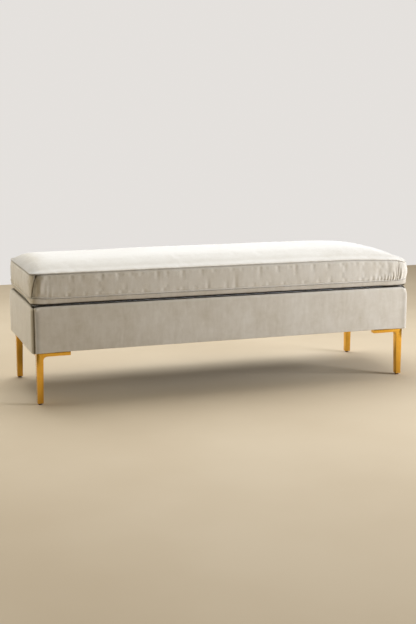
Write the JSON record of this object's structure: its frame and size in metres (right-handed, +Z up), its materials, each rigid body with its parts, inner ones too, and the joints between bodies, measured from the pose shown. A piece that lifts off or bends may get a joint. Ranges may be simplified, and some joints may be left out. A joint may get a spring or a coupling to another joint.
{
  "type": "upholstered bench",
  "caption": "Padded box base on slim square brass legs with arms, carrying a loose crowned box cushion with a zip along its rear; levelling feet screw into the legs.",
  "frame": {"origin": "on the floor, under the middle of the bench", "axes": "+X along the length, -Y towards the front, +Z up"},
  "size_m": [1.548, 0.508, 0.5304],
  "materials": {
    "velvet": "matte",
    "deck_cloth": "matte",
    "dust_cloth": "matte",
    "foam": "matte",
    "fibre": "matte",
    "timber": "matte",
    "board": "matte",
    "brass": "polished",
    "steel": "satin",
    "zip_tape": "matte",
    "foot_plastic": "matte"
  },
  "bodies": {
    "base": {"rail_front": "timber", "rail_rear": "timber", "rail_left": "timber", "rail_right": "timber", "cross_rail_left": "timber", "cross_rail_right": "timber", "corner_block_front_left": "timber", "corner_block_front_right": "timber", "corner_block_rear_right": "timber", "corner_block_rear_left": "timber", "deck_board": "board", "deck_foam": "foam", "deck_cover": "deck_cloth", "dust_cover": "dust_cloth", "pad_front": "fibre", "pad_rear": "fibre", "pad_left": "fibre", "pad_right": "fibre", "cover_front": "velvet", "cover_rear": "velvet", "cover_left": "velvet", "cover_right": "velvet", "leg_front_left": "brass", "leg_front_right": "brass", "leg_rear_right": "brass", "leg_rear_left": "brass", "leg_screw_front_left_side_inner": "brass", "leg_screw_front_left_side_outer": "brass", "leg_screw_front_left_end_inner": "brass", "leg_screw_front_left_end_outer": "brass", "leg_screw_front_right_side_inner": "brass", "leg_screw_front_right_side_outer": "brass", "leg_screw_front_right_end_inner": "brass", "leg_screw_front_right_end_outer": "brass", "leg_screw_rear_right_side_inner": "brass", "leg_screw_rear_right_side_outer": "brass", "leg_screw_rear_right_end_inner": "brass", "leg_screw_rear_right_end_outer": "brass", "leg_screw_rear_left_side_inner": "brass", "leg_screw_rear_left_side_outer": "brass", "leg_screw_rear_left_end_inner": "brass", "leg_screw_rear_left_end_outer": "brass"},
    "cushion": {"cushion_foam_core": "foam", "cushion_wrap_top": "fibre", "cushion_wrap_bottom": "fibre", "cushion_top_panel": "velvet", "cushion_bottom_panel": "velvet", "cushion_boxing": "velvet", "cushion_zip_strip_lower": "velvet", "cushion_zip_strip_upper": "velvet", "cushion_zip_chain": "zip_tape"},
    "zip_slider": {"cushion_zip_slider": "steel"},
    "leveller_front_left": {"leveller_stud_front_left": "steel", "leveller_foot_front_left": "foot_plastic"},
    "leveller_front_right": {"leveller_stud_front_right": "steel", "leveller_foot_front_right": "foot_plastic"},
    "leveller_rear_right": {"leveller_stud_rear_right": "steel", "leveller_foot_rear_right": "foot_plastic"},
    "leveller_rear_left": {"leveller_stud_rear_left": "steel", "leveller_foot_rear_left": "foot_plastic"}
  },
  "joints": [
    {"name": "cushion_lift", "type": "slide", "parent": "base", "child": "cushion", "axis": [0, 0, 1], "range_m": [0, 0.15]},
    {"name": "zip_slide", "type": "slide", "parent": "cushion", "child": "zip_slider", "axis": [1, 0, 0], "range_m": [0, 1.271]},
    {"name": "leveller_turn_out_front_left", "type": "slide", "parent": "base", "child": "leveller_front_left", "axis": [0, 0, -1], "range_m": [0, 0.008]},
    {"name": "leveller_turn_out_front_right", "type": "slide", "parent": "base", "child": "leveller_front_right", "axis": [0, 0, -1], "range_m": [0, 0.008]},
    {"name": "leveller_turn_out_rear_right", "type": "slide", "parent": "base", "child": "leveller_rear_right", "axis": [0, 0, -1], "range_m": [0, 0.008]},
    {"name": "leveller_turn_out_rear_left", "type": "slide", "parent": "base", "child": "leveller_rear_left", "axis": [0, 0, -1], "range_m": [0, 0.008]}
  ]
}
